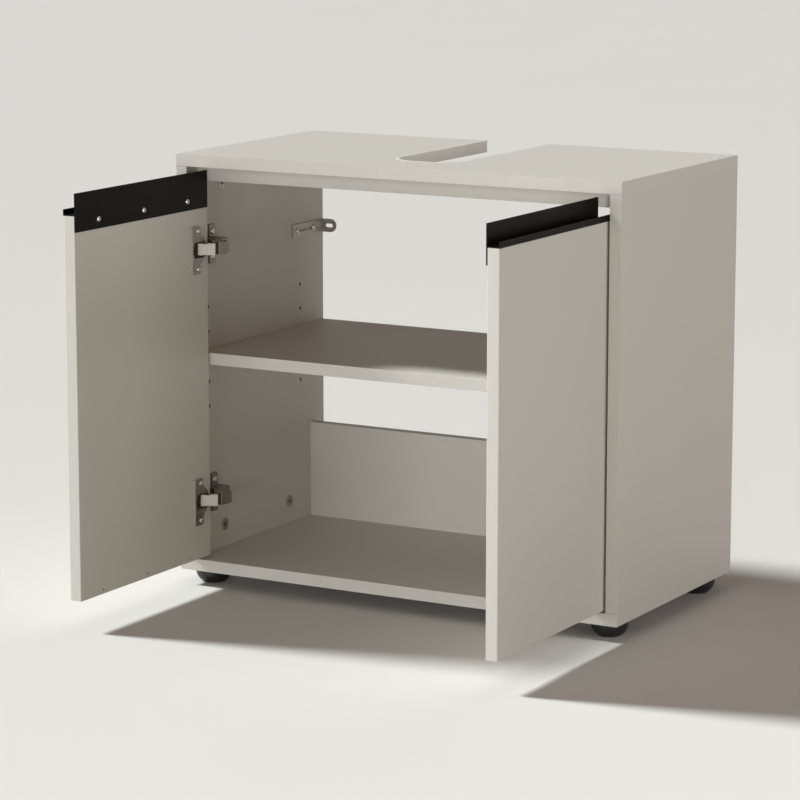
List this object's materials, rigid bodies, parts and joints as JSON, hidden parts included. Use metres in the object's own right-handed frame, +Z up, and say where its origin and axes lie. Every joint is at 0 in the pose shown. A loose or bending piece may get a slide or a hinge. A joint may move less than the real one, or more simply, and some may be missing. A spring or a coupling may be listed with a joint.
{
  "type": "sink base cabinet",
  "caption": "Low base cabinet for a basin: open-backed carcass with a shelf, a U-shaped siphon cut-out in the top, and doors with black grip profiles on cup hinges.",
  "frame": {"origin": "on the floor, in the middle of the whole footprint with both doors open as in the picture", "axes": "+Z up, +X across the width to the right as seen from the front, front and doors towards -Y, wall side towards +Y"},
  "size_m": [0.615, 0.5986, 0.5502],
  "materials": {
    "carcass_melamine": "light grey-beige melamine chipboard with a fine pebbled matte face and matching edge band",
    "door_melamine": "the same melamine board, one size for both doors",
    "edge_trim": "thin pale plastic edging, satin",
    "black_profile": "matte black coating",
    "hinge_nickel": "nickel-plated pressed steel",
    "screw_steel": "bright zinc plating, cross recess",
    "zinc_steel": "zinc plating",
    "cam_zinc": "dark zinc casting",
    "glide_plastic": "black plastic",
    "dowel_wood": "raw beech"
  },
  "bodies": {
    "carcass": {"bottom_board": "carcass_melamine", "cam_bolts": "zinc_steel", "cam_housings": "cam_zinc", "carcass_dowels": "dowel_wood", "cutout_trim": "edge_trim", "foot_screws": "screw_steel", "front_left_foot": "glide_plastic", "front_rail": "carcass_melamine", "front_right_foot": "glide_plastic", "hinge_adjusting_screws": "screw_steel", "hinge_pins": "hinge_nickel", "left_lower_hinge_arm": "hinge_nickel", "left_lower_mounting_plate": "hinge_nickel", "left_side_panel": "carcass_melamine", "left_upper_hinge_arm": "hinge_nickel", "left_upper_mounting_plate": "hinge_nickel", "left_wall_bracket": "zinc_steel", "mounting_plate_screws": "screw_steel", "rail_dowels": "dowel_wood", "rear_left_foot": "glide_plastic", "rear_right_foot": "glide_plastic", "rear_strip": "carcass_melamine", "right_lower_hinge_arm": "hinge_nickel", "right_lower_mounting_plate": "hinge_nickel", "right_side_panel": "carcass_melamine", "right_upper_hinge_arm": "hinge_nickel", "right_upper_mounting_plate": "hinge_nickel", "right_wall_bracket": "zinc_steel", "shelf": "carcass_melamine", "shelf_pins": "zinc_steel", "strip_dowels": "dowel_wood", "top_board": "carcass_melamine", "wall_bracket_screws": "screw_steel"},
    "left_door": {"left_cup_screws": "screw_steel", "left_door": "door_melamine", "left_grip_profile": "black_profile", "left_grip_screws": "screw_steel", "left_lower_hinge_cup": "hinge_nickel", "left_upper_hinge_cup": "hinge_nickel"},
    "right_door": {"right_cup_screws": "screw_steel", "right_door": "door_melamine", "right_grip_profile": "black_profile", "right_grip_screws": "screw_steel", "right_lower_hinge_cup": "hinge_nickel", "right_upper_hinge_cup": "hinge_nickel"},
    "left_links": {"left_link_pins": "hinge_nickel", "left_lower_hinge_link": "hinge_nickel", "left_upper_hinge_link": "hinge_nickel"},
    "right_links": {"right_link_pins": "hinge_nickel", "right_lower_hinge_link": "hinge_nickel", "right_upper_hinge_link": "hinge_nickel"}
  },
  "joints": [
    {"name": "left_door_swing", "type": "hinge", "parent": "carcass", "child": "left_door", "pos_m": [-0.28125, -0.0195, 0.27], "axis": [0, 0, 1], "range_deg": [0, 90]},
    {"name": "left_link_turn", "type": "hinge", "parent": "carcass", "child": "left_links", "pos_m": [-0.2636, -0.02055, 0.27], "axis": [0, 0, -1], "range_deg": [0, 40]},
    {"name": "right_door_swing", "type": "hinge", "parent": "carcass", "child": "right_door", "pos_m": [0.28125, -0.0195, 0.27], "axis": [0, 0, -1], "range_deg": [0, 90]},
    {"name": "right_link_turn", "type": "hinge", "parent": "carcass", "child": "right_links", "pos_m": [0.2636, -0.02055, 0.27], "axis": [0, 0, 1], "range_deg": [0, 40]}
  ],
  "couplings": [
    {"joint": "left_link_turn", "follows": "left_door_swing", "ratio": 0.4444},
    {"joint": "right_link_turn", "follows": "right_door_swing", "ratio": 0.4444}
  ]
}
